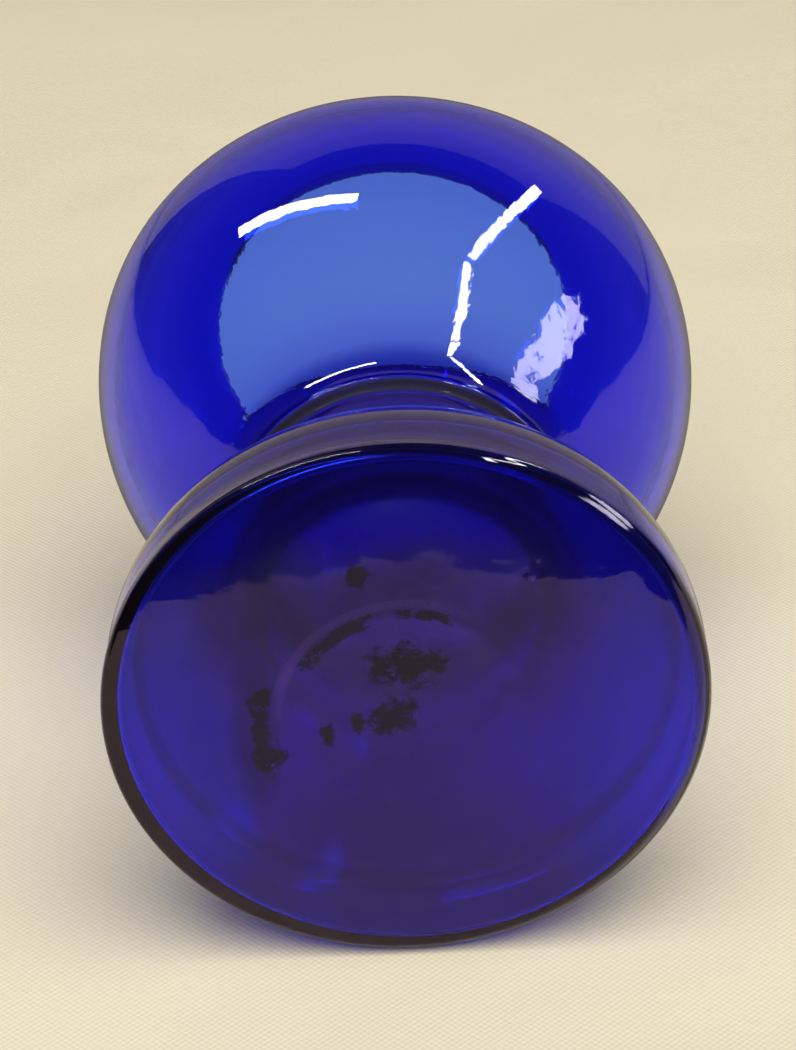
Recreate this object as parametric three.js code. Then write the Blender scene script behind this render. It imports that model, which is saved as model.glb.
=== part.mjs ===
// Posy vase in blown cobalt blue glass, in millimetres, +Z up.
// The origin is the centre of the base, on the surface that the vase stands on.
// One wall of glass runs all the way: base, hollow foot, neck, bowl and lip.
// Its section is drawn from the base centre outwards and up, over the lip and back down inside,
// and is turned about Z.

import * as THREE from 'three';

// Foot: a low hollow drum with a rounded heel below and a wide rounded shoulder above
const FOOT_RADIUS = 37;
const HEEL_ROUND_OUT = 1.3;
const HEEL_ROUND_UP = 2.2;
const SHOULDER_START = 7.2;
const SHOULDER_RADIUS = 13.8;

// Neck: a short tube that grows out of the foot through a hollow curve
const NECK_RADIUS = 21;
const NECK_CURVE_RADIUS = 5;

// Crease: the small step, left by the tool that pinched the neck, under which the bowl begins
const CREASE_HEIGHT = 44.8;
const CREASE_OUT = 1.4;
const CREASE_RISE = 1;

// Bowl: a flattened globe, deeper below its widest circle than above it
const BOWL_RADIUS = 42.1;
const BOWL_HEIGHT = 84;
const BOWL_DEPTH_BELOW = 42;
const BOWL_DEPTH_ABOVE = 20.5;
const BOWL_FULLNESS_BELOW = 2;
const BOWL_FULLNESS_ABOVE = 2.6;
const MOUTH_RADIUS = 28.2;

// Walls: thin round the foot, thicker over its shoulder, thin again where the bowl was blown out,
// and thickest at the lip
const BASE_THICKNESS = 2.6;
const FOOT_WALL = 1.6;
const ROOF_WALL = 3.2;
const NECK_WALL = 2.4;
const BOWL_WALL = 2.2;
const LIP_WALL = 3.8;
const NECK_WALL_FADE = 10;
const LIP_WALL_FADE = 4;
const INNER_CORNER_RADIUS = 1;

// Mark in the base where the rod was broken off: a shallow dish with a sloping edge
const ROD_MARK_RADIUS = 15;
const ROD_MARK_EDGE = 1.2;
const ROD_MARK_DEPTH = 0.5;

// Smoothness of the curves
const TURN_STEPS = 60;
const ARC_STEP = THREE.MathUtils.degToRad(12);
const CORNER_STEP = THREE.MathUtils.degToRad(24);
const BOWL_STEPS = 16;
const HEEL_STEPS = 4;
const LIP_STEPS = 6;

const GLASS_COLOUR = 0x1a12b4;

// A point of the section: distance from the axis, height
const at = (radius, height) => new THREE.Vector2(radius, height);

// Points on an arc of a circle, both ends included
function arc(centre, radius, from, to, step = ARC_STEP) {
  const steps = Math.max(2, Math.ceil(Math.abs(to - from) / step));
  return Array.from({ length: steps + 1 }, (_, i) => {
    const angle = from + ((to - from) * i) / steps;
    return at(centre.x + radius * Math.cos(angle), centre.y + radius * Math.sin(angle));
  });
}

// Point on the bowl's outer curve. The angle runs from -90 degrees under the bowl,
// through 0 at its widest circle, to 90 degrees above it.
function bowlPoint(angle) {
  const below = angle < 0;
  const power = 2 / (below ? BOWL_FULLNESS_BELOW : BOWL_FULLNESS_ABOVE);
  const depth = below ? BOWL_DEPTH_BELOW : BOWL_DEPTH_ABOVE;
  const out = Math.cos(angle) ** power;
  const up = Math.sign(angle) * Math.abs(Math.sin(angle)) ** power;
  return at(BOWL_RADIUS * out, BOWL_HEIGHT + depth * up);
}

// Direction that faces out of the bowl at an angle below its widest circle
function bowlNormal(angle) {
  const power = 2 - 2 / BOWL_FULLNESS_BELOW;
  const out = Math.cos(angle) ** power / BOWL_RADIUS;
  const up = -(Math.abs(Math.sin(angle)) ** power) / BOWL_DEPTH_BELOW;
  return at(out, up).normalize();
}

// Angle on the bowl's curve at which the wall has come in to the mouth
function mouthAngle() {
  const share = (MOUTH_RADIUS / BOWL_RADIUS) ** (BOWL_FULLNESS_ABOVE / 2);
  return Math.acos(share);
}

// Foot's shoulder and the hollow curve above it: two arcs that meet in one tangent,
// the second ending upright against the neck
function footToNeck() {
  const shoulder = at(FOOT_RADIUS - SHOULDER_RADIUS, SHOULDER_START);
  const across = NECK_RADIUS + NECK_CURVE_RADIUS - shoulder.x;
  const reach = SHOULDER_RADIUS + NECK_CURVE_RADIUS;
  const turn = Math.acos(across / reach);
  const hollow = at(shoulder.x + across, shoulder.y + reach * Math.sin(turn));
  const down = arc(shoulder, SHOULDER_RADIUS, 0, turn);
  const up = arc(hollow, NECK_CURVE_RADIUS, Math.PI + turn, Math.PI);
  return [...down, ...up.slice(1)];
}

// Crease: a quarter turn outwards and a quarter turn upwards again, both half the step wide
function crease() {
  const half = at(CREASE_OUT / 2, CREASE_RISE / 2);
  const foot = at(NECK_RADIUS, CREASE_HEIGHT - CREASE_RISE);
  const quarter = Math.PI / 2;
  const outwards = [0, 1, 2].map((i) => {
    const angle = (quarter * i) / 2;
    return at(foot.x + half.x * (1 - Math.cos(angle)), foot.y + half.y * Math.sin(angle));
  });
  const upwards = [1, 2].map((i) => {
    const angle = (quarter * i) / 2;
    const middle = at(foot.x + half.x, foot.y + half.y);
    return at(middle.x + half.x * Math.sin(angle), middle.y + half.y * (1 - Math.cos(angle)));
  });
  return [...outwards, ...upwards];
}

// Hollow curve from the top of the neck to the bowl: the arc that leaves a given radius upright
// and lies against the bowl. For each place on the bowl the arc's radius is known, and so is
// the height it would start at. The place whose arc starts at the crease is the one wanted:
// it lies under the bowl's widest circle, and the search halves the angle left until none is.
function neckToBowl(startRadius) {
  const arcAt = (angle) => {
    const touch = bowlPoint(angle);
    const normal = bowlNormal(angle);
    const radius = (touch.x - startRadius) / (1 - normal.x);
    return { normal, radius, start: touch.y + radius * normal.y };
  };
  let low = -Math.PI / 2;
  let high = 0;
  let middle = low / 2;
  while (low < middle && middle < high) {
    if (arcAt(middle).start > CREASE_HEIGHT) low = middle;
    else high = middle;
    middle = (low + high) / 2;
  }
  const { normal, radius } = arcAt(low);
  const centre = at(startRadius + radius, CREASE_HEIGHT);
  const turn = Math.PI - Math.atan2(-normal.y, normal.x);
  return { points: arc(centre, radius, Math.PI, turn), angle: low };
}

// Bowl from the place where the hollow curve meets it up to the mouth
function bowlWall(from) {
  const end = mouthAngle();
  return Array.from({ length: BOWL_STEPS }, (_, i) => {
    return bowlPoint(from + ((end - from) * (i + 1)) / BOWL_STEPS);
  });
}

// Wall thickness at a height on the outer curve, changing smoothly between the named walls
function wallAt(height) {
  const mouthHeight = bowlPoint(mouthAngle()).y;
  const shoulderTop = SHOULDER_START + SHOULDER_RADIUS;
  const stations = [
    [SHOULDER_START, FOOT_WALL],
    [shoulderTop, ROOF_WALL],
    [(shoulderTop + CREASE_HEIGHT) / 2, NECK_WALL],
    [CREASE_HEIGHT, NECK_WALL],
    [CREASE_HEIGHT + NECK_WALL_FADE, BOWL_WALL],
    [mouthHeight - LIP_WALL_FADE, BOWL_WALL],
    [mouthHeight, LIP_WALL],
  ];
  const next = stations.findIndex(([top]) => height <= top);
  if (next < 0) return LIP_WALL;
  if (next === 0) return FOOT_WALL;
  const [from, wallBelow] = stations[next - 1];
  const [to, wallAbove] = stations[next];
  const share = THREE.MathUtils.smoothstep(height, from, to);
  return THREE.MathUtils.lerp(wallBelow, wallAbove, share);
}

// A curve moved in by the wall, point by point, along its own normal
function movedIn(curve) {
  return curve.map((point, i) => {
    const before = curve[Math.max(0, i - 1)];
    const after = curve[Math.min(curve.length - 1, i + 1)];
    const along = after.clone().sub(before).normalize();
    const inward = at(-along.y, along.x);
    return point.clone().addScaledVector(inward, wallAt(point.y));
  });
}

// Rounded lip: half a circle from the outer end of the wall over to the inner end
function lip(outerEnd, innerEnd) {
  const middle = outerEnd.clone().add(innerEnd).multiplyScalar(0.5);
  const half = outerEnd.clone().sub(middle);
  const up = at(-half.y, half.x);
  return Array.from({ length: LIP_STEPS - 1 }, (_, i) => {
    const angle = (Math.PI * (i + 1)) / LIP_STEPS;
    const point = middle.clone().addScaledVector(half, Math.cos(angle));
    return point.addScaledVector(up, Math.sin(angle));
  });
}

// Base: the rod mark's shallow dish, the flat ring that the vase stands on, and the heel
function baseAndHeel() {
  const dish = [
    at(0, ROD_MARK_DEPTH),
    at(ROD_MARK_RADIUS - ROD_MARK_EDGE, ROD_MARK_DEPTH),
    at(ROD_MARK_RADIUS, 0),
  ];
  const heel = Array.from({ length: HEEL_STEPS + 1 }, (_, i) => {
    const angle = (Math.PI * i) / (2 * HEEL_STEPS);
    const radius = FOOT_RADIUS - HEEL_ROUND_OUT * (1 - Math.sin(angle));
    return at(radius, HEEL_ROUND_UP * (1 - Math.cos(angle)));
  });
  return [...dish, ...heel];
}

// Inside corner of the foot: the arc that lies against the wall, or against the shoulder's
// inside where the corner is wider than the wall is high, and against the thick floor
function innerCorner() {
  const shoulder = at(FOOT_RADIUS - SHOULDER_RADIUS, SHOULDER_START);
  const reach = SHOULDER_RADIUS - FOOT_WALL - INNER_CORNER_RADIUS;
  const height = BASE_THICKNESS + INNER_CORNER_RADIUS;
  const rise = Math.max(0, height - shoulder.y);
  const across = Math.sqrt(reach ** 2 - rise ** 2);
  const centre = at(shoulder.x + across, height);
  const from = Math.atan2(rise, across);
  return arc(centre, INNER_CORNER_RADIUS, from, -Math.PI / 2, CORNER_STEP);
}

function section() {
  const foot = footToNeck();
  const step = crease();
  const hollow = neckToBowl(NECK_RADIUS + CREASE_OUT);
  const bowl = bowlWall(hollow.angle);
  const outer = [...foot, ...step, ...hollow.points.slice(1), ...bowl];

  // The inside passes the crease without a step
  const insideHollow = neckToBowl(NECK_RADIUS);
  const smooth = [...foot, ...insideHollow.points, ...bowlWall(insideHollow.angle)];
  const corner = innerCorner();
  const clearOfCorner = corner[0].y + INNER_CORNER_RADIUS / 2;
  const inner = movedIn(smooth).filter((point) => point.y > clearOfCorner).reverse();

  const rim = lip(outer[outer.length - 1], inner[0]);
  return [...baseAndHeel(), ...outer, ...rim, ...inner, ...corner, at(0, BASE_THICKNESS)];
}

const glass = new THREE.MeshStandardMaterial({
  color: GLASS_COLOUR,
  roughness: 0.04,
  metalness: 0,
  transparent: true,
  opacity: 0.75,
});

const geometry = new THREE.LatheGeometry(section(), TURN_STEPS);
// LatheGeometry turns about Y: this stands it up on Z
geometry.rotateX(Math.PI / 2);

const vaseBody = new THREE.Mesh(geometry, glass);
vaseBody.name = 'vase_body';

const vase = new THREE.Group();
vase.add(vaseBody);

export default vase;
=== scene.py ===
"""Posy vase in blown cobalt glass: fine glass body, marks in the base, and the table it lies on."""

import math

import bpy
from mathutils import Matrix, Vector


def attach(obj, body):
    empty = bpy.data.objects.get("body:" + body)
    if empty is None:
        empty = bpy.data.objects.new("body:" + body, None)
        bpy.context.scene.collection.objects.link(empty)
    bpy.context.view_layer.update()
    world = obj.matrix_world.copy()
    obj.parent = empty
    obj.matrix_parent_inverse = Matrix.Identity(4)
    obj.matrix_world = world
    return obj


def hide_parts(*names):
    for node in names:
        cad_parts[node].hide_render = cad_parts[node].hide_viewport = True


bl_info = {
    "name": "Posy vase",
    "version": (1, 0, 0),
    "blender": (4, 5, 0),
    "location": "3D View > Sidebar > Posy vase",
    "description": "Builds a blown glass posy vase and the table it lies on",
    "category": "Object",
}

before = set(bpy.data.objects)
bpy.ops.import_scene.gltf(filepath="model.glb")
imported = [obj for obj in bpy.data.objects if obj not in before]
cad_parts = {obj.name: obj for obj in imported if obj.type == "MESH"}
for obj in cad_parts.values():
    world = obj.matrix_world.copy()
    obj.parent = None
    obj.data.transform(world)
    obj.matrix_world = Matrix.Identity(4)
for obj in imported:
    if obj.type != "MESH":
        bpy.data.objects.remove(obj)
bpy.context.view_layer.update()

MM = 0.001
NODE = "vase_body"
PHOTO_WIDTH = 796
PHOTO_HEIGHT = 1050

# Heights in millimetres between which the glass changes, each from no change to full change
BASE_TOP = (1.6, 0.8)
FOOT_TOP = (24.0, 20.0)
BOWL_START = (50.0, 58.0)
UPPER_BOWL = (74.0, 88.0)
# The same for zones that begin at one height and end at another
TOOLED_ZONE = ((43.0, 47.0), (74.0, 60.0))
GLOW_HEIGHT = ((9.0, 12.0), (26.0, 22.0))
# The same, counted from the step under the bowl
BOWL_ROOT = (11.0, 0.4)
NECK_TOP = (-0.4, -1.2)
# Painted shade in the neck below the crease
NECK_SHADE = ((-14.8, -8.8), (-1.0, -1.6))
# Painted shade on the crease under the bowl
CREASE_SHADE = ((-1.8, -1.2), (-0.1, -0.4))
# The same, counted from the heel's upper edge, and from the floor of the foot
HEEL_TOP = (0.0, -0.6)
ABOVE_FLOOR = (0.4, 1.0)
OFF_FLOOR = (2.2, 0.8)
# Lower and upper edge of the line that water has left inside the foot
TIDE_LINE = (11.6, 12.6)
# Distances from the axis: edge of the flat base, inner wall, matt bloom and haze
FLAT_EDGE = (36.2, 35.4)
INNER_WALL = (35.6, 35.2)
FILM_EDGE = (33.0, 19.0)
HAZE_INNER_EDGE = (13.5, 15.0)
# Distances from the axis towards the table: painted light and shade across the floor, painted glow of the
# shoulder
FLOOR_LIGHT_FADE = (-16.0, 14.0)
GLOW_SIDE = (-12.0, -26.0)
# Radius of the hollow in the base, and height of its waves and of the bubble in it
KICK_RADIUS = 30.0
SAG = 0.12

# Dark remains round the rod mark: centre x and y, half width, half height
RESIDUE_PATCHES = (
    (-0.2, -6.9, 6.0, 3.7),
    (-1.9, 0.2, 3.8, 3.1),
    (-9.8, 2.6, 1.2, 1.9),
    (-6.2, 0.9, 0.9, 2.1),
    (-17.2, 5.6, 2.5, 3.7),
    (-18.6, -2.5, 1.7, 1.9),
    (-5.4, -20.2, 1.7, 2.2),
)
# Thin brownish haze outside the mark, and one larger bubble under the base
HAZE_PATCHES = ((-4.0, -15.0, 25.0, 11.0), (-18.6, 0.0, 3.4, 15.0))
BUBBLE = (14.9, -19.1, 0.8, 0.7)
# Remains that follow the mark's edge, and the worn line outside it: radius, half width, angle, half angle
RESIDUE_ARCS = (
    (14.3, 1.2, 234.0, 26.0),
    (14.5, 0.9, 279.0, 17.0),
    (18.0, 1.5, 176.0, 26.0),
)
RING_LINE = (16.0, 0.8, 240.0, 75.0)

# The room, in metres; a strip lamp is its name, both ends, width and watts
CLOTH_HALF = 1.3
CLOTH_END = 2.2
WALL_LEFT, WALL_RIGHT = -1.4, 2.6
WALL_PLACE = 2.0
WALL_HEIGHT = 2.6
STRIPS = (
    ("strip_left", (-1.180, -1.3, 0.670), (-0.200, -1.3, 0.363), 0.12, 14.0),
    ("strip_right", (1.278, -1.3, 1.099), (0.653, -1.3, -0.233), 0.09, 13.0),
    ("strip_near", (0.653, -1.3, -0.233), (0.768, -1.3, -1.060), 0.085, 9.0),
)
WINDOW_PLACE = (1.5, -0.66, -0.47)
WINDOW_HALF = (0.24, 0.60)
WINDOW_MARGIN = 1.3
CEILING_PLACE = (0.1, -1.5, -0.7)
CEILING_SIDE = 1.8


def millimetres(value, name, description):
    """A length property whose default is given in millimetres."""
    return bpy.props.FloatProperty(
        name=name,
        description=description,
        default=value * MM,
        precision=5,
        subtype="DISTANCE",
        unit="LENGTH",
    )


def colour(value, name, description):
    """A colour property."""
    return bpy.props.FloatVectorProperty(
        name=name,
        description=description,
        default=value,
        size=3,
        min=0.0,
        max=1.0,
        subtype="COLOR",
    )


class PosyVaseBody(bpy.types.PropertyGroup):
    """Sizes of the glass: the section that is turned about the upright axis"""

    foot_radius: millimetres(37.0, "Foot radius", "Widest radius of the foot")
    heel_out: millimetres(1.3, "Heel width", "How far the heel's rounding reaches in over the base")
    heel_up: millimetres(2.2, "Heel height", "How far the heel's rounding reaches up the foot")
    shoulder_start: millimetres(7.2, "Shoulder start", "Height at which the foot begins to close in")
    shoulder_radius: millimetres(13.8, "Shoulder radius", "Radius of the foot's shoulder")
    neck_radius: millimetres(21.0, "Neck radius", "Outer radius of the neck")
    neck_curve: millimetres(5.0, "Neck curve", "Radius of the hollow curve from foot to neck")
    crease_height: millimetres(44.8, "Crease height", "Height of the step under the bowl")
    crease_out: millimetres(1.4, "Crease width", "How far the step stands out")
    crease_rise: millimetres(1.0, "Crease rise", "Height of the step itself")
    bowl_radius: millimetres(42.1, "Bowl radius", "Widest radius of the bowl")
    bowl_height: millimetres(84.0, "Bowl height", "Height of the bowl's widest circle")
    bowl_below: millimetres(42.0, "Bowl below", "Depth of the bowl's curve under its widest circle")
    bowl_above: millimetres(20.5, "Bowl above", "Height of the bowl's curve over its widest circle")
    mouth_radius: millimetres(28.2, "Mouth radius", "Radius at which the wall ends in the lip")
    base: millimetres(2.6, "Base thickness", "Thickness of the floor of the foot")
    foot_wall: millimetres(1.6, "Foot wall", "Wall at the foot's side")
    roof_wall: millimetres(3.2, "Shoulder wall", "Wall at the top of the foot's shoulder")
    neck_wall: millimetres(2.4, "Neck wall", "Wall in the neck")
    bowl_wall: millimetres(2.2, "Bowl wall", "Wall in the bowl")
    lip_wall: millimetres(3.8, "Lip wall", "Wall at the lip")
    neck_fade: millimetres(10.0, "Neck fade", "Height over which the neck's wall thins to the bowl's")
    lip_fade: millimetres(4.0, "Lip fade", "Height over which the bowl's wall thickens to the lip's")
    inner_corner: millimetres(1.0, "Inner corner", "Radius between the foot's wall and its floor")
    mark_radius: millimetres(15.0, "Rod mark radius", "Radius of the shallow dish in the base")
    mark_edge: millimetres(4.0, "Rod mark edge", "Width of the dish's sloping edge")
    mark_depth: millimetres(0.3, "Rod mark depth", "Depth of the dish in the base")
    lean: millimetres(-0.9, "Base shift across", "How far the base sits to one side of the foot")
    lean_y: millimetres(-0.7, "Base shift along", "The same towards the back and front")
    fullness_below: bpy.props.FloatProperty(
        name="Fullness below",
        description="2 is an ellipse, more is squarer",
        default=2.0,
    )
    fullness_above: bpy.props.FloatProperty(
        name="Fullness above",
        description="2 is an ellipse, more is squarer",
        default=2.6,
    )
    turns: bpy.props.IntProperty(
        name="Steps round",
        description="Number of steps round the axis",
        default=240,
        min=24,
    )


class PosyVaseGlass(bpy.types.PropertyGroup):
    """Finish of the glass and of what has stuck to its base"""

    absorption: colour((0.175, 0.425, 0.952), "Colour in depth", "What thick glass lets through")
    density: bpy.props.FloatProperty(
        name="Depth of colour",
        description="How strongly a metre of glass colours light",
        default=1100.0,
    )
    bowl_tint: colour((1.0, 1.0, 1.0), "Bowl", "Tint of the wall up to the bowl's widest circle")
    low_tint: colour((0.62, 0.40, 1.0), "Bowl's root", "Tint of the wall just above the neck")
    neck_tint: colour((0.7, 0.25, 0.8), "Neck", "Tint of the neck's wall")
    # Painted shade: a dark blue matt layer that darkens the neck below the crease
    painted_neck_shade: colour((0.008, 0.002, 0.15), "Neck depth", "Colour that gathers in the thick neck")
    # Painted light: a matt blue layer that makes the top of the shoulder glow
    glow: colour((0.05, 0.04, 0.80), "Shoulder glow", "Blue light that leaves the top of the shoulder")
    top_tint: colour((1.0, 0.3, 0.95), "Upper bowl", "Tint of the wall near the mouth")
    foot_tint: colour((0.78, 0.25, 0.78), "Foot", "Tint of the foot's wall")
    tide: colour((0.3, 0.1, 0.3), "Tide line", "Tint of the line inside the foot")
    wet_wall: colour((1.0, 0.8, 1.0), "Wall under water", "Tint of the inner wall below the tide line")
    # Painted shade, partly real: the heel's rounding looks dark through refraction, and this dark tint
    # adds painted shade to it
    heel_shade_tint: colour((0.16, 0.13, 0.12), "Heel", "Tint of the heel's rounding")
    # Painted light and shade: the floor's tint is lighter and bluer on the side towards the table,
    # standing in for light from the cloth, and darker away from it
    painted_floor_shade: colour((1.0, 0.7, 0.58), "Floor, upper side", "Tint of the floor where it is thickest")
    painted_floor_light: colour((1.0, 0.75, 1.0), "Floor, lower side", "Tint of the floor where it is thinnest")
    sheen_tint: colour((1.0, 0.7, 1.0), "Reflections", "Tint of what the glass mirrors")
    # Painted shade: a dark matt layer over the glass where it is seen edge on and on the crease under the
    # bowl
    edge: colour((0.028, 0.024, 0.018), "Edge", "Colour of the glass where it is seen edge on")
    edge_shade_depth: bpy.props.FloatProperty(
        name="Edge darkness",
        description="How much the glass darkens where it is seen edge on",
        default=0.7,
        min=0.0,
        max=1.0,
    )
    ripple: millimetres(0.04, "Ripple", "Height of the small waves in the surface")
    kick: millimetres(1.2, "Kick", "How hollow the base looks towards its middle")
    film: colour((0.042, 0.013, 0.25), "Film", "Matt bloom on the base round the rod mark")
    film_depth: bpy.props.FloatProperty(
        name="Film density",
        description="How much the matt bloom covers the middle of the base",
        default=0.28,
        min=0.0,
        max=1.0,
    )
    bloom: bpy.props.FloatProperty(
        name="Bloom in the foot",
        description="Roughness of the floor inside the foot, where water has stood",
        default=0.2,
        min=0.0,
        max=1.0,
    )
    shadow: colour((0.03, 0.04, 0.40), "Shadow colour", "Light that the vase lets onto the table")
    residue: colour((0.018, 0.014, 0.018), "Residue", "Dark remains on the base")
    ring: colour((0.10, 0.05, 0.34), "Ring", "Pale worn line round the rod mark")


class PosyVaseStage(bpy.types.PropertyGroup):
    """Table cloth, lamps and camera"""

    cloth: colour((0.80, 0.74, 0.56), "Cloth", "Unbleached cotton")
    # Painted light: behind the glass the cloth takes this bluer colour, which stands in for the light that
    # reaches it there
    cloth_through_glass_light: colour((0.72, 0.76, 0.82), "Cloth through glass", "The cloth's colour behind the glass")
    thread: millimetres(0.51, "Thread pitch", "Distance between the threads of the cloth")
    wall: colour((0.62, 0.57, 0.52), "Wall", "Pale wall behind the table")
    wall_glow: bpy.props.FloatProperty(
        name="Wall light",
        description="How strongly the wall is lit",
        default=0.42,
    )
    window: colour((0.8, 1.0, 0.9), "Window", "Daylight in the window")
    window_strength: bpy.props.FloatProperty(
        name="Window light",
        description="Brightness of the window",
        default=13.0,
    )
    strip: colour((0.75, 1.0, 0.68), "Strip lamps", "Light of the strip lamps")
    ceiling: colour((1.0, 0.97, 0.92), "Ceiling lamp", "Light of the soft lamp overhead")
    ceiling_power: bpy.props.FloatProperty(
        name="Ceiling power",
        description="Watts of the soft lamp overhead",
        default=43.0,
    )
    room: colour((0.075, 0.068, 0.078), "Room", "Dim room that the glass mirrors")
    backdrop: colour((0.78, 0.74, 0.64), "Backdrop", "What the camera sees past the cloth")
    front: millimetres(75.0, "Cloth in front", "How far the cloth reaches past the base")
    axis_angle: bpy.props.FloatProperty(
        name="View angle",
        description="Angle between the vase's axis and the line of sight",
        default=math.radians(31.210),
        subtype="ANGLE",
    )
    roll: bpy.props.FloatProperty(
        name="Roll",
        description="Turn of the camera about its line of sight",
        default=math.radians(-2.215),
        subtype="ANGLE",
    )
    distance: millimetres(407.0, "Distance", "Depth of the base centre in front of the camera")
    focal: bpy.props.FloatProperty(
        name="Focal length in pixels",
        description="Focal length for an image as wide as the photograph",
        default=3359.06,
    )
    base_x: bpy.props.FloatProperty(
        name="Base centre across",
        description="Pixel column of the base centre",
        default=408.43,
    )
    base_y: bpy.props.FloatProperty(
        name="Base centre down",
        description="Pixel row of the base centre",
        default=715.13,
    )


def clear_selection():
    """Leave edit mode and deselect every object."""
    if bpy.context.object and bpy.context.object.mode != "OBJECT":
        bpy.ops.object.mode_set(mode="OBJECT")
    bpy.ops.object.select_all(action="DESELECT")


def arc(centre, radius, start, end, step_degrees=4.0):
    """Points on an arc of a circle, both ends included."""
    steps = max(3, math.ceil(abs(end - start) / math.radians(step_degrees)))
    points = []
    for i in range(steps + 1):
        angle = start + (end - start) * i / steps
        points.append((centre[0] + radius * math.cos(angle), centre[1] + radius * math.sin(angle)))
    return points


def bowl_point(size, angle):
    """Point on the bowl's outer curve; the angle is 0 at its widest circle."""
    below = angle < 0
    power = 2 / (size.fullness_below if below else size.fullness_above)
    depth = size.bowl_below if below else size.bowl_above
    up = math.copysign(abs(math.sin(angle)) ** power, angle)
    return size.bowl_radius * math.cos(angle) ** power, size.bowl_height + depth * up


def bowl_normal(size, angle):
    """Direction that faces out of the bowl below its widest circle."""
    power = 2 - 2 / size.fullness_below
    across = math.cos(angle) ** power / size.bowl_radius
    up = -(abs(math.sin(angle)) ** power) / size.bowl_below
    length = math.hypot(across, up)
    return across / length, up / length


def mouth_angle(size):
    """Angle on the bowl's curve at which the wall has come in to the mouth."""
    return math.acos((size.mouth_radius / size.bowl_radius) ** (size.fullness_above / 2))


def foot_to_neck(size):
    """Shoulder and the hollow curve above it, two arcs that meet in one tangent."""
    shoulder = (size.foot_radius - size.shoulder_radius, size.shoulder_start)
    across = size.neck_radius + size.neck_curve - shoulder[0]
    reach = size.shoulder_radius + size.neck_curve
    turn = math.acos(across / reach)
    hollow = (shoulder[0] + across, shoulder[1] + reach * math.sin(turn))
    down = arc(shoulder, size.shoulder_radius, 0, turn)
    up = arc(hollow, size.neck_curve, math.pi + turn, math.pi)
    return down + up[1:]


def crease(size):
    """The step under the bowl: a quarter turn outwards and a quarter turn up again."""
    half = (size.crease_out / 2, size.crease_rise / 2)
    foot = (size.neck_radius, size.crease_height - size.crease_rise)
    points = []
    for i in range(7):
        angle = math.pi / 2 * i / 6
        points.append((foot[0] + half[0] * (1 - math.cos(angle)), foot[1] + half[1] * math.sin(angle)))
    for i in range(1, 7):
        angle = math.pi / 2 * i / 6
        points.append((
            foot[0] + half[0] * (1 + math.sin(angle)),
            foot[1] + half[1] * (2 - math.cos(angle)),
        ))
    return points


def neck_to_bowl(size, start_radius):
    """Arc that leaves a radius upright at the crease and lies against the bowl."""

    def arc_at(angle):
        touch = bowl_point(size, angle)
        normal = bowl_normal(size, angle)
        radius = (touch[0] - start_radius) / (1 - normal[0])
        return normal, radius, touch[1] + radius * normal[1]

    low, high = math.radians(-80), math.radians(-6)
    for _ in range(50):
        middle = (low + high) / 2
        if arc_at(middle)[2] > size.crease_height:
            low = middle
        else:
            high = middle
    normal, radius, _ = arc_at(low)
    centre = (start_radius + radius, size.crease_height)
    turn = math.pi - math.atan2(-normal[1], normal[0])
    return arc(centre, radius, math.pi, turn, 2.5), low


def bowl_wall(size, start, steps=56):
    """Bowl from the place where the hollow curve meets it up to the mouth."""
    end = mouth_angle(size)
    return [bowl_point(size, start + (end - start) * (i + 1) / steps) for i in range(steps)]


def wall_at(size, height):
    """Wall thickness at a height on the outer curve."""
    mouth = bowl_point(size, mouth_angle(size))[1]
    shoulder_top = size.shoulder_start + size.shoulder_radius
    stations = [
        (size.shoulder_start, size.foot_wall),
        (shoulder_top, size.roof_wall),
        ((shoulder_top + size.crease_height) / 2, size.neck_wall),
        (size.crease_height, size.neck_wall),
        (size.crease_height + size.neck_fade, size.bowl_wall),
        (mouth - size.lip_fade, size.bowl_wall),
        (mouth, size.lip_wall),
    ]
    if height <= stations[0][0]:
        return stations[0][1]
    for (low, below), (top, above) in zip(stations, stations[1:]):
        if height <= top:
            share = (height - low) / (top - low)
            share = share * share * (3 - 2 * share)
            return below + (above - below) * share
    return size.lip_wall


def moved_in(size, curve):
    """A curve moved in by the wall, point by point, along its own normal."""
    points = []
    for i, point in enumerate(curve):
        before = curve[max(0, i - 1)]
        after = curve[min(len(curve) - 1, i + 1)]
        along = (after[0] - before[0], after[1] - before[1])
        length = math.hypot(*along)
        wall = wall_at(size, point[1])
        points.append((point[0] - along[1] / length * wall, point[1] + along[0] / length * wall))
    return points


def lip(outer_end, inner_end, steps=14):
    """Rounded lip: half a circle from the wall's outer end over to its inner end."""
    middle = ((outer_end[0] + inner_end[0]) / 2, (outer_end[1] + inner_end[1]) / 2)
    half = (outer_end[0] - middle[0], outer_end[1] - middle[1])
    points = []
    for i in range(1, steps):
        angle = math.pi * i / steps
        points.append((
            middle[0] + half[0] * math.cos(angle) - half[1] * math.sin(angle),
            middle[1] + half[1] * math.cos(angle) + half[0] * math.sin(angle),
        ))
    return points


def base_and_heel(size, rings=10, heel_steps=12):
    """Rod mark, flat ring and heel."""
    inner = size.mark_radius - size.mark_edge
    points = [(inner * i / 4, size.mark_depth) for i in range(4)]
    for i in range(7):
        share = i / 6
        soft = share * share * (3 - 2 * share)
        points.append((inner + size.mark_edge * share, size.mark_depth * (1 - soft)))
    flat_end = size.foot_radius - size.heel_out
    for i in range(1, rings):
        points.append((size.mark_radius + (flat_end - size.mark_radius) * i / rings, 0.0))
    for i in range(heel_steps + 1):
        angle = math.pi / 2 * i / heel_steps
        points.append((
            size.foot_radius - size.heel_out * (1 - math.sin(angle)),
            size.heel_up * (1 - math.cos(angle)),
        ))
    points.append((size.foot_radius, (size.heel_up + size.shoulder_start) / 2))
    return points


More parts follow.
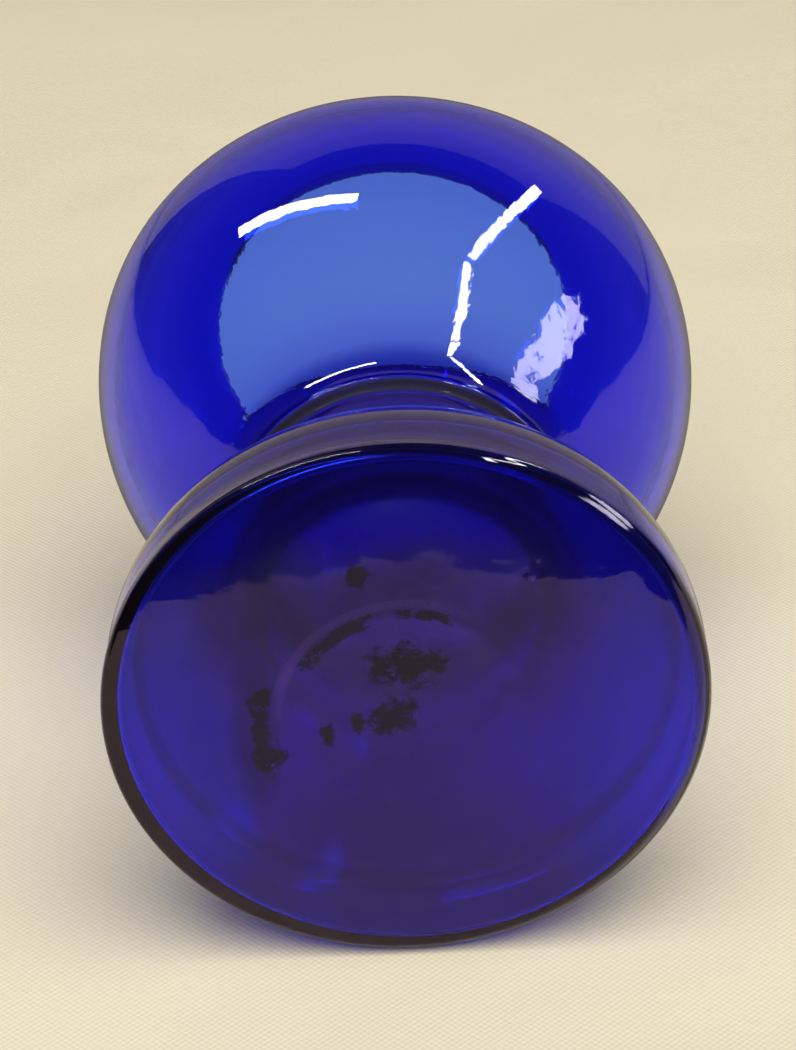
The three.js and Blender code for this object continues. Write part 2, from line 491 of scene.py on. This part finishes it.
def inner_corner(size):
    """Arc between the inside of the foot's wall and its floor."""
    centre_x = size.foot_radius - size.shoulder_radius
    reach = size.shoulder_radius - size.foot_wall - size.inner_corner
    height = size.base + size.inner_corner
    rise = max(0.0, height - size.shoulder_start)
    across = math.sqrt(reach ** 2 - rise ** 2)
    start = math.atan2(rise, across)
    return arc((centre_x + across, height), size.inner_corner, start, -math.pi / 2, 9.0)


def section(size):
    """Closed section of the glass, from the base centre round to the floor's centre."""
    foot = foot_to_neck(size)
    hollow, angle = neck_to_bowl(size, size.neck_radius + size.crease_out)
    outer = foot + crease(size) + hollow[1:] + bowl_wall(size, angle)
    inside, inside_angle = neck_to_bowl(size, size.neck_radius)
    smooth = foot + inside + bowl_wall(size, inside_angle)
    corner = inner_corner(size)
    clear = corner[0][1] + size.inner_corner / 2
    inner = [point for point in moved_in(size, smooth) if point[1] > clear][::-1]
    floor = [(corner[-1][0] * i / 10, size.base) for i in range(9, -1, -1)]
    return base_and_heel(size) + outer + lip(outer[-1], inner[0]) + inner + corner + floor


class Nodes:
    """Small helper that adds and links the nodes of one material."""

    def __init__(self, material):
        material.use_nodes = True
        self.tree = material.node_tree
        self.tree.nodes.clear()

    def add(self, kind, inputs=None, **settings):
        """Add a node, set its properties, and set or link its inputs."""
        node = self.tree.nodes.new(kind)
        for name, value in settings.items():
            setattr(node, name, value)
        for name, value in (inputs or {}).items():
            socket = node.inputs[name]
            if isinstance(value, bpy.types.NodeSocket):
                self.tree.links.new(value, socket)
            else:
                socket.default_value = value
        return node

    def object_place(self):
        """Place in the object's own measures, whole and as three numbers."""
        place = self.add("ShaderNodeTexCoord").outputs["Object"]
        return place, self.add("ShaderNodeSeparateXYZ", {0: place}).outputs

    def math(self, operation, first, second=0.0, third=0.0, clamp=False):
        """A Math node's output."""
        node = self.add("ShaderNodeMath", {0: first, 1: second, 2: third}, operation=operation)
        node.use_clamp = clamp
        return node.outputs[0]

    def length(self, across, along):
        """Length of a flat vector."""
        squares = self.math("MULTIPLY_ADD", across, across, self.math("MULTIPLY", along, along))
        return self.math("SQRT", squares)

    def ramp(self, value, low, high):
        """A value mapped smoothly from 0 at low to 1 at high."""
        node = self.add(
            "ShaderNodeMapRange",
            {"Value": value, "From Min": low, "From Max": high},
            interpolation_type="SMOOTHSTEP",
        )
        return node.outputs[0]

    def fade(self, value, ends, start=0.0):
        """The same between two ends in millimetres, counted from a start."""
        return self.ramp(value, start + ends[0] * MM, start + ends[1] * MM)

    def band(self, value, fades, start=0.0):
        """1 between two fades and 0 outside them."""
        return self.math("MULTIPLY", self.fade(value, fades[0], start), self.fade(value, fades[1], start))

    def mix(self, share, first, second):
        """Two colours mixed: the first where share is 0, the second where it is 1."""
        return self.add("ShaderNodeMixRGB", {0: share, 1: first, 2: second}).outputs[0]

    def noise(self, place, scale, detail, **more):
        """A Noise texture's value."""
        inputs = {"Vector": place, "Scale": scale, "Detail": detail}
        inputs.update({name.capitalize(): value for name, value in more.items()})
        return self.add("ShaderNodeTexNoise", inputs).outputs[0]

    def layer(self, under, share, tint, specular=0.0):
        """A thin matt layer over another surface; share says where it covers it."""
        over = self.add(
            "ShaderNodeBsdfPrincipled",
            {"Base Color": rgba(tint), "Roughness": 0.6, "Specular IOR Level": specular},
        )
        return self.add("ShaderNodeMixShader", {0: share, 1: under.outputs[0], 2: over.outputs[0]})

    def one_sided(self, surface):
        """A surface that can't be seen from its back."""
        back = self.add("ShaderNodeNewGeometry").outputs["Backfacing"]
        nothing = self.add("ShaderNodeBsdfTransparent")
        return self.add("ShaderNodeMixShader", {0: back, 1: surface.outputs[0], 2: nothing.outputs[0]})

    def finish(self, surface, **more):
        """Link the surface, and a volume if there is one, to the output."""
        inputs = {"Surface": surface.outputs[0]}
        inputs.update({name.capitalize(): node.outputs[0] for name, node in more.items()})
        self.add("ShaderNodeOutputMaterial", inputs)


def rgba(values):
    """A colour with full alpha."""
    return (values[0], values[1], values[2], 1.0)


def patch(nodes, axes, place):
    """1 in the middle of an ellipse, 0 on its rim and below 0 outside it."""
    x, y, half_x, half_y = (value * MM for value in place)
    first = nodes.math("DIVIDE", nodes.math("SUBTRACT", axes["X"], x), half_x)
    second = nodes.math("DIVIDE", nodes.math("SUBTRACT", axes["Y"], y), half_y)
    left = nodes.math("SUBTRACT", 1.0, nodes.math("POWER", first, 2.0))
    return nodes.math("SUBTRACT", left, nodes.math("POWER", second, 2.0))


def arc_patch(nodes, axes, radius, place):
    """The same for a piece of a ring: radius, half width, angle of its middle and half angle."""
    middle, half, angle, spread = place
    off = nodes.math("DIVIDE", nodes.math("SUBTRACT", radius, middle * MM), half * MM)
    ring = nodes.math("SUBTRACT", 1.0, nodes.math("POWER", off, 2.0))
    turn = math.radians(angle)
    toward = nodes.math("MULTIPLY", axes["X"], math.cos(turn))
    toward = nodes.math("MULTIPLY_ADD", axes["Y"], math.sin(turn), toward)
    share = nodes.math("DIVIDE", toward, radius)
    least = math.cos(math.radians(spread))
    end = nodes.math("DIVIDE", nodes.math("SUBTRACT", share, least), 1.0 - least)
    return nodes.math("MINIMUM", ring, end)


def residue_mask(nodes, place, axes, radius):
    """Where dark remains cover the base: ragged patches and arcs."""
    shapes = [patch(nodes, axes, item) for item in RESIDUE_PATCHES]
    shapes += [arc_patch(nodes, axes, radius, item) for item in RESIDUE_ARCS]
    shape = -1.0
    for item in shapes:
        shape = nodes.math("MAXIMUM", shape, item)
    ragged = nodes.noise(place, 330.0, 9.0, roughness=0.8, distortion=0.2)
    ragged = nodes.math("MULTIPLY", nodes.math("SUBTRACT", ragged, 0.5), 5.0)
    return nodes.ramp(nodes.math("ADD", shape, ragged), 0.1, 0.75)


def haze_mask(nodes, axes, radius, cloud):
    """Where a thin brownish haze lies on the base, outside the rod mark."""
    first, second = (patch(nodes, axes, item) for item in HAZE_PATCHES)
    cloud = nodes.math("SUBTRACT", nodes.math("MULTIPLY", cloud, 2.0), 1.0)
    haze = nodes.math("ADD", nodes.math("MAXIMUM", first, second), cloud)
    haze = nodes.math("MULTIPLY", nodes.ramp(haze, -0.3, 1.0), 0.5)
    return nodes.math("MULTIPLY", haze, nodes.fade(radius, HAZE_INNER_EDGE))


def glass_relief(nodes, glass, place, axes, radius, on_base):
    """Height of the fine relief in metres: waves, seeds and the hollow of the base."""
    drawn = nodes.add("ShaderNodeMapping", {"Vector": place, "Scale": (1.0, 1.0, 0.35)}).outputs[0]
    long_waves = nodes.noise(drawn, 160.0, 2.0, roughness=0.5)
    short_waves = nodes.noise(drawn, 520.0, 2.0, roughness=0.55)

    # The wall over the neck was touched by the tool and stayed rougher than the rest
    touched = nodes.band(axes["Z"], TOOLED_ZONE)
    short_share = nodes.math("MULTIPLY_ADD", touched, 0.2, 0.25)
    height = nodes.math("MULTIPLY_ADD", short_waves, short_share, long_waves)
    grain = nodes.math("MULTIPLY", nodes.noise(place, 1700.0, 1.0), touched)
    height = nodes.math("MULTIPLY_ADD", grain, 0.09, height)

    # Seeds: small round bubbles under the surface, in one cell out of five
    cells = nodes.add("ShaderNodeTexVoronoi", {"Vector": place, "Scale": 190.0, "Randomness": 1.0})
    round_seed = nodes.ramp(cells.outputs["Distance"], 0.11, 0.04)
    chosen = nodes.math("GREATER_THAN", cells.outputs["Color"], 0.80)
    seeds = nodes.math("MULTIPLY", round_seed, chosen)
    height = nodes.math("MULTIPLY", nodes.math("MULTIPLY_ADD", seeds, 0.7, height), glass.ripple)

    # The base: drawn in towards the middle, with long waves of its own and one larger bubble
    share = nodes.math("POWER", nodes.math("DIVIDE", radius, KICK_RADIUS * MM), 2.0)
    bell = nodes.math("EXPONENT", nodes.math("MULTIPLY", share, -1.0))
    hollow = nodes.math("MULTIPLY", bell, -glass.kick)
    hollow = nodes.math("MULTIPLY_ADD", nodes.noise(place, 75.0, 1.0), SAG * MM, hollow)
    bubble = nodes.math("MAXIMUM", patch(nodes, axes, BUBBLE), 0.0)
    hollow = nodes.math("MULTIPLY_ADD", bubble, SAG * MM, hollow)
    return nodes.math("MULTIPLY_ADD", hollow, on_base, height)


def glass_tint(nodes, size, glass, axes, radius, on_base, on_floor):
    """Tint of the glass, which varies from foot to mouth and along the tide line, with painted shade on
    the heel and painted light and shade across the floor.
    """
    up = axes["Z"]
    crease = size.crease_height
    tint = nodes.mix(nodes.fade(up, UPPER_BOWL), rgba(glass.bowl_tint), rgba(glass.top_tint))
    # In the heel's zone the tint is painted shade that adds to the dark that refraction gives there
    zones = (
        (BOWL_ROOT, crease, glass.low_tint),
        (NECK_TOP, crease, glass.neck_tint),
        (FOOT_TOP, 0.0, glass.foot_tint),
        (HEEL_TOP, size.heel_up, glass.heel_shade_tint),
    )
    for ends, start, zone in zones:
        tint = nodes.mix(nodes.fade(up, ends, start), tint, rgba(zone))

    # The heel's rounding is uneven: the flat base sits to one side of the foot
    across = nodes.math("SUBTRACT", axes["X"], size.lean)
    along = nodes.math("SUBTRACT", axes["Y"], size.lean_y)
    on_flat = nodes.math("MULTIPLY", on_base, nodes.fade(nodes.length(across, along), FLAT_EDGE))
    tint = nodes.mix(on_flat, tint, rgba(glass.foot_tint))

    # Water stood in the foot: the wall is clearer below its line, and darker on the line itself
    inside = nodes.math(
        "MULTIPLY",
        nodes.fade(radius, INNER_WALL),
        nodes.fade(up, ABOVE_FLOOR, size.base),
    )
    low, high = TIDE_LINE
    below = nodes.math("MULTIPLY", inside, nodes.fade(up, (high, low)))
    tint = nodes.mix(below, tint, rgba(glass.wet_wall))
    on_line = nodes.band(up, ((low - 0.6, low), (high + 0.8, high)))
    tint = nodes.mix(nodes.math("MULTIPLY", on_line, inside), tint, rgba(glass.tide))

    # Painted light and shade across the floor: lighter and bluer towards the table, darker away from it
    painted_floor_tint = nodes.mix(
        nodes.fade(axes["Y"], FLOOR_LIGHT_FADE),
        rgba(glass.painted_floor_shade),
        rgba(glass.painted_floor_light),
    )
    return nodes.mix(on_floor, tint, painted_floor_tint)


def painted_shade_and_glow(nodes, size, glass, axes, surface):
    """Painted shade where the wall is seen edge on, on the crease and in the neck, and a painted glow on
    the shoulder's top.
    """
    up = axes["Z"]
    crease = size.crease_height
    facing = nodes.add("ShaderNodeLayerWeight", {"Blend": 0.5}).outputs["Facing"]
    on_bowl = nodes.fade(up, BOWL_START)
    off_bowl = nodes.math("SUBTRACT", 1.0, on_bowl)
    # Painted shade: the glass darkens where it is seen edge on
    edge = nodes.math(
        "ADD",
        nodes.math("MULTIPLY", nodes.ramp(facing, 0.68, 0.96), on_bowl),
        nodes.math("MULTIPLY", nodes.ramp(facing, 0.88, 0.98), off_bowl),
    )
    edge = nodes.math("MULTIPLY", edge, glass.edge_shade_depth)
    # Painted shade: a dark band on the crease under the bowl
    crease_shade = nodes.math("MULTIPLY", nodes.band(up, CREASE_SHADE, crease), 0.9)
    edge = nodes.math("MAXIMUM", edge, crease_shade)

    # Painted shade: a dark blue matt layer darkens the neck below the crease
    neck = nodes.math("MULTIPLY", nodes.band(up, NECK_SHADE, crease), 0.6)
    mixed = nodes.layer(surface, neck, glass.painted_neck_shade)
    # Painted light: a matt blue glow on the shoulder's side away from the table, where it is seen
    # obliquely
    glow = nodes.math("MULTIPLY", nodes.ramp(facing, 0.50, 0.68), nodes.fade(axes["Y"], GLOW_SIDE))
    glow = nodes.math("MULTIPLY", glow, nodes.band(up, GLOW_HEIGHT))
    mixed = nodes.layer(mixed, nodes.math("MULTIPLY", glow, 0.4), glass.glow)
    return nodes.layer(mixed, edge, glass.edge)


def base_marks(nodes, glass, place, axes, radius, on_base, surface):
    """Matt bloom, the worn line round the rod mark, and remains of kiln wash and dirt."""
    cloud = nodes.noise(place, 90.0, 3.0)
    film = nodes.math("MULTIPLY", nodes.fade(radius, FILM_EDGE), on_base)
    film = nodes.math("MULTIPLY", film, nodes.math("MULTIPLY_ADD", cloud, 0.8, 0.6))
    film = nodes.math("MULTIPLY", film, glass.film_depth)
    mixed = nodes.layer(surface, film, glass.film, 0.1)

    line = arc_patch(nodes, axes, radius, RING_LINE)
    line = nodes.math("MULTIPLY", nodes.math("MAXIMUM", line, 0.0), on_base)
    mixed = nodes.layer(mixed, nodes.math("MULTIPLY", line, 0.6), glass.ring, 0.1)

    mask = nodes.math("MULTIPLY", residue_mask(nodes, place, axes, radius), 0.92)
    mask = nodes.math("MAXIMUM", mask, haze_mask(nodes, axes, radius, cloud))
    return nodes.layer(mixed, nodes.math("MULTIPLY", mask, on_base), glass.residue, 0.2)


def glass_material(size, glass):
    """Cobalt glass: clear surfaces over a body that absorbs red and green."""
    material = bpy.data.materials.new("cobalt_glass")
    nodes = Nodes(material)
    place, axes = nodes.object_place()
    up = axes["Z"]
    radius = nodes.length(axes["X"], axes["Y"])
    on_base = nodes.fade(up, BASE_TOP)
    on_floor = nodes.math(
        "MULTIPLY",
        nodes.ramp(up, size.base * 0.9, size.base * 0.98),
        nodes.fade(up, OFF_FLOOR, size.base),
    )
    relief = glass_relief(nodes, glass, place, axes, radius, on_base)
    bump = nodes.add("ShaderNodeBump", {"Strength": 1.0, "Distance": 1.0, "Height": relief})
    surface = nodes.add(
        "ShaderNodeBsdfPrincipled",
        {
            "Base Color": glass_tint(nodes, size, glass, axes, radius, on_base, on_floor),
            "Roughness": nodes.math("MULTIPLY", on_floor, glass.bloom),
            "IOR": 1.52,
            "Specular Tint": rgba(glass.sheen_tint),
            "Transmission Weight": 1.0,
            "Normal": bump.outputs[0],
        },
    )
    mixed = painted_shade_and_glow(nodes, size, glass, axes, surface)
    mixed = base_marks(nodes, glass, place, axes, radius, on_base, mixed)
    in_shadow = nodes.add("ShaderNodeLightPath").outputs["Is Shadow Ray"]
    see_through = nodes.add("ShaderNodeBsdfTransparent", {"Color": rgba(glass.shadow)})
    mixed = nodes.add(
        "ShaderNodeMixShader",
        {0: in_shadow, 1: mixed.outputs[0], 2: see_through.outputs[0]},
    )
    depth = nodes.add(
        "ShaderNodeVolumeAbsorption",
        {"Color": rgba(glass.absorption), "Density": glass.density},
    )
    nodes.finish(mixed, volume=depth)
    return material


def cloth_material(stage):
    """Unbleached cotton: plain weave, soft creases, seen from its own side only."""
    material = bpy.data.materials.new("cotton_cloth")
    nodes = Nodes(material)
    place, axes = nodes.object_place()
    turn = math.pi / stage.thread
    across = nodes.math("SINE", nodes.math("MULTIPLY", axes["X"], turn))
    along = nodes.math("SINE", nodes.math("MULTIPLY", axes["Z"], turn))
    weave = nodes.math("MULTIPLY", across, along)
    weave = nodes.math("MULTIPLY_ADD", nodes.noise(place, 900.0, 3.0), 0.8, weave)
    creases = nodes.noise(place, 9.0, 2.5, roughness=0.45, distortion=0.6)
    folds = nodes.add("ShaderNodeBump", {"Strength": 0.5, "Distance": 0.01, "Height": creases})
    threads = nodes.add(
        "ShaderNodeBump",
        {"Strength": 0.35, "Distance": 0.0001, "Height": weave, "Normal": folds.outputs[0]},
    )
    shade = nodes.mix(
        nodes.ramp(weave, -1.0, 1.6),
        rgba([value * 0.93 for value in stage.cloth]),
        rgba([min(1.0, value * 1.04) for value in stage.cloth]),
    )
    # Painted light: seen through the glass, the cloth takes another, bluer colour instead of its own
    through = nodes.add("ShaderNodeLightPath").outputs["Is Transmission Ray"]
    surface = nodes.add(
        "ShaderNodeBsdfPrincipled",
        {
            "Base Color": nodes.mix(through, shade, rgba(stage.cloth_through_glass_light)),
            "Roughness": 0.9,
            "Specular IOR Level": 0.0,
            "Normal": threads.outputs[0],
        },
    )
    nodes.finish(nodes.one_sided(surface))
    return material


def wall_material(stage):
    """Plain painted wall behind the table, itself lit from above, seen only as a reflection."""
    material = bpy.data.materials.new("pale_wall")
    nodes = Nodes(material)
    surface = nodes.add(
        "ShaderNodeBsdfPrincipled",
        {
            "Base Color": rgba(stage.wall),
            "Roughness": 1.0,
            "Emission Color": rgba(stage.wall),
            "Emission Strength": stage.wall_glow,
        },
    )
    nodes.finish(nodes.one_sided(surface))
    return material


def window_material(stage):
    """Daylight through a window with leaves in front of it: bright inside, ragged at its sides."""
    material = bpy.data.materials.new("window_light")
    nodes = Nodes(material)
    place, axes = nodes.object_place()
    _, middle_y, middle_z = WINDOW_PLACE
    half_height, half_length = WINDOW_HALF
    down = nodes.math("DIVIDE", nodes.math("SUBTRACT", axes["Y"], middle_y), half_height)
    along = nodes.math("DIVIDE", nodes.math("SUBTRACT", axes["Z"], middle_z), half_length)
    shape = nodes.math("SUBTRACT", 1.0, nodes.math("POWER", down, 4.0))
    shape = nodes.math("SUBTRACT", shape, nodes.math("POWER", along, 4.0))
    leaves = nodes.noise(place, 7.5, 6.0, roughness=0.7)
    leaves = nodes.math("MULTIPLY", nodes.math("SUBTRACT", leaves, 0.5), 6.0)
    seen = nodes.ramp(nodes.math("ADD", shape, leaves), 0.2, 0.5)
    light = nodes.add(
        "ShaderNodeEmission",
        {"Color": rgba(stage.window), "Strength": stage.window_strength},
    )
    nothing = nodes.add("ShaderNodeBsdfTransparent")
    mixed = nodes.add("ShaderNodeMixShader", {0: seen, 1: nothing.outputs[0], 2: light.outputs[0]})
    nodes.finish(mixed)
    return material


def table_line(size):
    """Radius and slope of the table plane, which touches the foot and the bowl."""
    points = section(size)
    low = [point for point in points if point[1] < size.shoulder_start + size.shoulder_radius]
    high = [point for point in points if point[1] > size.bowl_height - size.bowl_below / 2]
    for foot in low:
        for bowl in high:
            slope = (bowl[0] - foot[0]) / (bowl[1] - foot[1])
            start = foot[0] - slope * foot[1]
            if all(radius <= start + slope * z + 1e-9 for radius, z in points):
                return start, slope
    raise RuntimeError("the table touches no two places of the vase")


class POSYVASE_OT_body(bpy.types.Operator):
    """Turn the vase's section into one closed wall of glass"""

    bl_idname = "posy_vase.body"
    bl_label = "Glass body"

    def execute(self, context):
        size = context.scene.posy_vase_body
        points = [Vector((radius, 0.0, z)) for radius, z in section(size)]
        clear_selection()
        bpy.ops.mesh.primitive_plane_add(size=MM, location=points[0])
        body = context.object
        body.name = body.data.name = "glass_body"
        bpy.ops.object.transform_apply(location=True, rotation=True, scale=True)
        bpy.ops.object.mode_set(mode="EDIT")
        bpy.ops.mesh.select_all(action="SELECT")
        bpy.ops.mesh.merge(type="CENTER")
        for start, end in zip(points, points[1:]):
            bpy.ops.mesh.extrude_vertices_move(TRANSFORM_OT_translate={"value": end - start})
        bpy.ops.mesh.select_all(action="SELECT")
        bpy.ops.mesh.spin(
            steps=size.turns,
            angle=math.tau,
            center=(0.0, 0.0, 0.0),
            axis=(0.0, 0.0, 1.0),
        )
        bpy.ops.mesh.select_all(action="SELECT")
        bpy.ops.mesh.remove_doubles(threshold=1e-6)
        bpy.ops.mesh.normals_make_consistent(inside=False)
        bpy.ops.object.mode_set(mode="OBJECT")
        for vertex in body.data.vertices:
            share = 1.0 - vertex.co.z / size.heel_up
            if share > 0.0:
                vertex.co.x += size.lean * share
                vertex.co.y += size.lean_y * share
        bpy.ops.object.shade_smooth()
        body.data.materials.clear()
        body.data.materials.append(glass_material(size, context.scene.posy_vase_glass))
        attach(body, "root")
        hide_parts(NODE)
        return {"FINISHED"}


def add_lamp(name, place, target, width, length, power, tint, along=None):
    """Rectangular lamp at a place, facing a target; along sets which way its length lies."""
    clear_selection()
    bpy.ops.object.light_add(type="AREA", location=place)
    lamp = bpy.context.object
    lamp.name = lamp.data.name = name
    lamp.data.shape = "RECTANGLE"
    lamp.data.size = width
    lamp.data.size_y = length
    lamp.data.energy = power
    lamp.data.color = tint
    back = (Vector(place) - Vector(target)).normalized()
    side = Vector(along or (0.0, 0.0, 1.0))
    up = (side - back * side.dot(back)).normalized()
    across = up.cross(back)
    lamp.matrix_world = Matrix((
        (across.x, up.x, back.x, place[0]),
        (across.y, up.y, back.y, place[1]),
        (across.z, up.z, back.z, place[2]),
        (0.0, 0.0, 0.0, 1.0),
    ))
    return lamp


def add_sheet(name, corners, material):
    """Flat stage piece with four given corners."""
    clear_selection()
    bpy.ops.mesh.primitive_plane_add(size=1.0)
    sheet = bpy.context.object
    sheet.name = sheet.data.name = name
    for vertex, corner in zip((0, 1, 3, 2), corners):
        sheet.data.vertices[vertex].co = corner
    sheet.data.materials.append(material)
    return sheet


class POSYVASE_OT_stage(bpy.types.Operator):
    """Lay the cloth, hang the lamps and place the camera"""

    bl_idname = "posy_vase.stage"
    bl_label = "Table, lamps and camera"

    def execute(self, context):
        stage = context.scene.posy_vase_stage
        size = context.scene.posy_vase_body
        start, slope = table_line(size)
        touch = Vector((0.0, start, 0.0))
        along = Vector((0.0, slope, 1.0)).normalized()
        up = Vector((0.0, -1.0, slope)).normalized()
        across = Vector((1.0, 0.0, 0.0))

        def on_table(x, z, height=0.0):
            return touch + across * x + along * z + up * height

        cloth = add_sheet(
            "cloth",
            [
                on_table(-CLOTH_HALF, -stage.front),
                on_table(CLOTH_HALF, -stage.front),
                on_table(CLOTH_HALF, CLOTH_END),
                on_table(-CLOTH_HALF, CLOTH_END),
            ],
            cloth_material(stage),
        )
        wall = add_sheet(
            "wall",
            [
                on_table(WALL_LEFT, WALL_PLACE),
                on_table(WALL_RIGHT, WALL_PLACE),
                on_table(WALL_RIGHT, WALL_PLACE, WALL_HEIGHT),
                on_table(WALL_LEFT, WALL_PLACE, WALL_HEIGHT),
            ],
            wall_material(stage),
        )
        for sheet, facing in ((cloth, up), (wall, -along)):
            if sheet.data.polygons[0].normal.dot(facing) < 0:
                sheet.data.flip_normals()
        self.hang_lamps(stage)
        self.fill_room(context, stage)
        self.place_camera(context, stage)
        context.scene.view_settings.view_transform = "Standard"
        return {"FINISHED"}

    def hang_lamps(self, stage):
        """Strip lamps that the bowl mirrors as streaks, a window beside it, and soft light overhead."""
        for name, one, two, width, power in STRIPS:
            one, two = Vector(one), Vector(two)
            middle = (one + two) / 2
            length = (two - one).length
            aim = (0.0, 0.0, 0.05)
            strip = add_lamp(name, middle, aim, width, length, power, stage.strip, two - one)
            strip.visible_diffuse = False
        half_height, half_length = (half * WINDOW_MARGIN for half in WINDOW_HALF)
        window = add_sheet(
            "window",
            [
                Vector(WINDOW_PLACE) + Vector((0.0, half_height * y, half_length * z))
                for y, z in ((-1, -1), (1, -1), (1, 1), (-1, 1))
            ],
            window_material(stage),
        )
        window.visible_diffuse = False
        window.visible_shadow = False
        aim = (0.0, 0.0, 0.1)
        side, power = CEILING_SIDE, stage.ceiling_power
        soft = add_lamp("ceiling", CEILING_PLACE, aim, side, side, power, stage.ceiling)
        soft.visible_glossy = False
        soft.visible_transmission = False

    def fill_room(self, context, stage):
        """A dim room lights and colours the glass; past the cloth the camera sees a pale backdrop."""
        world = bpy.data.worlds.new("room")
        context.scene.world = world
        world.use_nodes = True
        tree = world.node_tree
        seen = tree.nodes.new("ShaderNodeLightPath")
        room = tree.nodes.new("ShaderNodeMixRGB")
        room.inputs[1].default_value = rgba(stage.room)
        room.inputs[2].default_value = rgba(stage.backdrop)
        tree.links.new(seen.outputs["Is Camera Ray"], room.inputs[0])
        tree.links.new(room.outputs[0], tree.nodes["Background"].inputs["Color"])

    def place_camera(self, context, stage):
        """Stand the camera where the photograph was taken from."""
        turn = Matrix.Rotation(stage.roll, 3, "Z")
        lean = stage.axis_angle
        axis_z = turn @ Vector((0.0, -math.sin(lean), math.cos(lean)))
        axis_x = turn @ Vector((1.0, 0.0, 0.0))
        axis_y = axis_z.cross(axis_x)
        to_vase = Matrix((axis_x, axis_y, axis_z))
        base = Vector((
            (stage.base_x - PHOTO_WIDTH / 2) / stage.focal,
            (stage.base_y - PHOTO_HEIGHT / 2) / stage.focal,
            1.0,
        )) * stage.distance
        place = to_vase @ -base
        right = to_vase @ Vector((1.0, 0.0, 0.0))
        up = to_vase @ Vector((0.0, -1.0, 0.0))
        back = to_vase @ Vector((0.0, 0.0, -1.0))
        clear_selection()
        bpy.ops.object.camera_add()
        camera = context.object
        camera.name = camera.data.name = "camera"
        camera.matrix_world = Matrix((
            (right.x, up.x, back.x, place.x),
            (right.y, up.y, back.y, place.y),
            (right.z, up.z, back.z, place.z),
            (0.0, 0.0, 0.0, 1.0),
        ))
        camera.data.sensor_fit = "HORIZONTAL"
        camera.data.sensor_width = 36.0
        camera.data.lens = stage.focal / PHOTO_WIDTH * camera.data.sensor_width
        camera.data.clip_start = 0.01
        context.scene.camera = camera


class POSYVASE_PT_panel(bpy.types.Panel):
    """The vase's sizes, colours and pieces"""

    bl_idname = "POSYVASE_PT_panel"
    bl_label = "Posy vase"
    bl_space_type = "VIEW_3D"
    bl_region_type = "UI"
    bl_category = "Posy vase"

    def draw(self, context):
        for group in (
            context.scene.posy_vase_body,
            context.scene.posy_vase_glass,
            context.scene.posy_vase_stage,
        ):
            box = self.layout.box()
            for name in type(group).__annotations__:
                box.prop(group, name)
        for operator in OPERATORS:
            self.layout.operator(operator.bl_idname)


GROUPS = {
    "posy_vase_body": PosyVaseBody,
    "posy_vase_glass": PosyVaseGlass,
    "posy_vase_stage": PosyVaseStage,
}
OPERATORS = (POSYVASE_OT_body, POSYVASE_OT_stage)


def register():
    """Register the classes and hang the settings on the scene."""
    for name, group in GROUPS.items():
        bpy.utils.register_class(group)
        setattr(bpy.types.Scene, name, bpy.props.PointerProperty(type=group))
    for item in (*OPERATORS, POSYVASE_PT_panel):
        bpy.utils.register_class(item)


def unregister():
    """Take everything out again."""
    for item in (POSYVASE_PT_panel, *reversed(OPERATORS)):
        bpy.utils.unregister_class(item)
    for name, group in GROUPS.items():
        delattr(bpy.types.Scene, name)
        bpy.utils.unregister_class(group)


def main():
    """Build every piece."""
    register()
    bpy.ops.posy_vase.body()
    bpy.ops.posy_vase.stage()


if __name__ == "__main__":
    main()
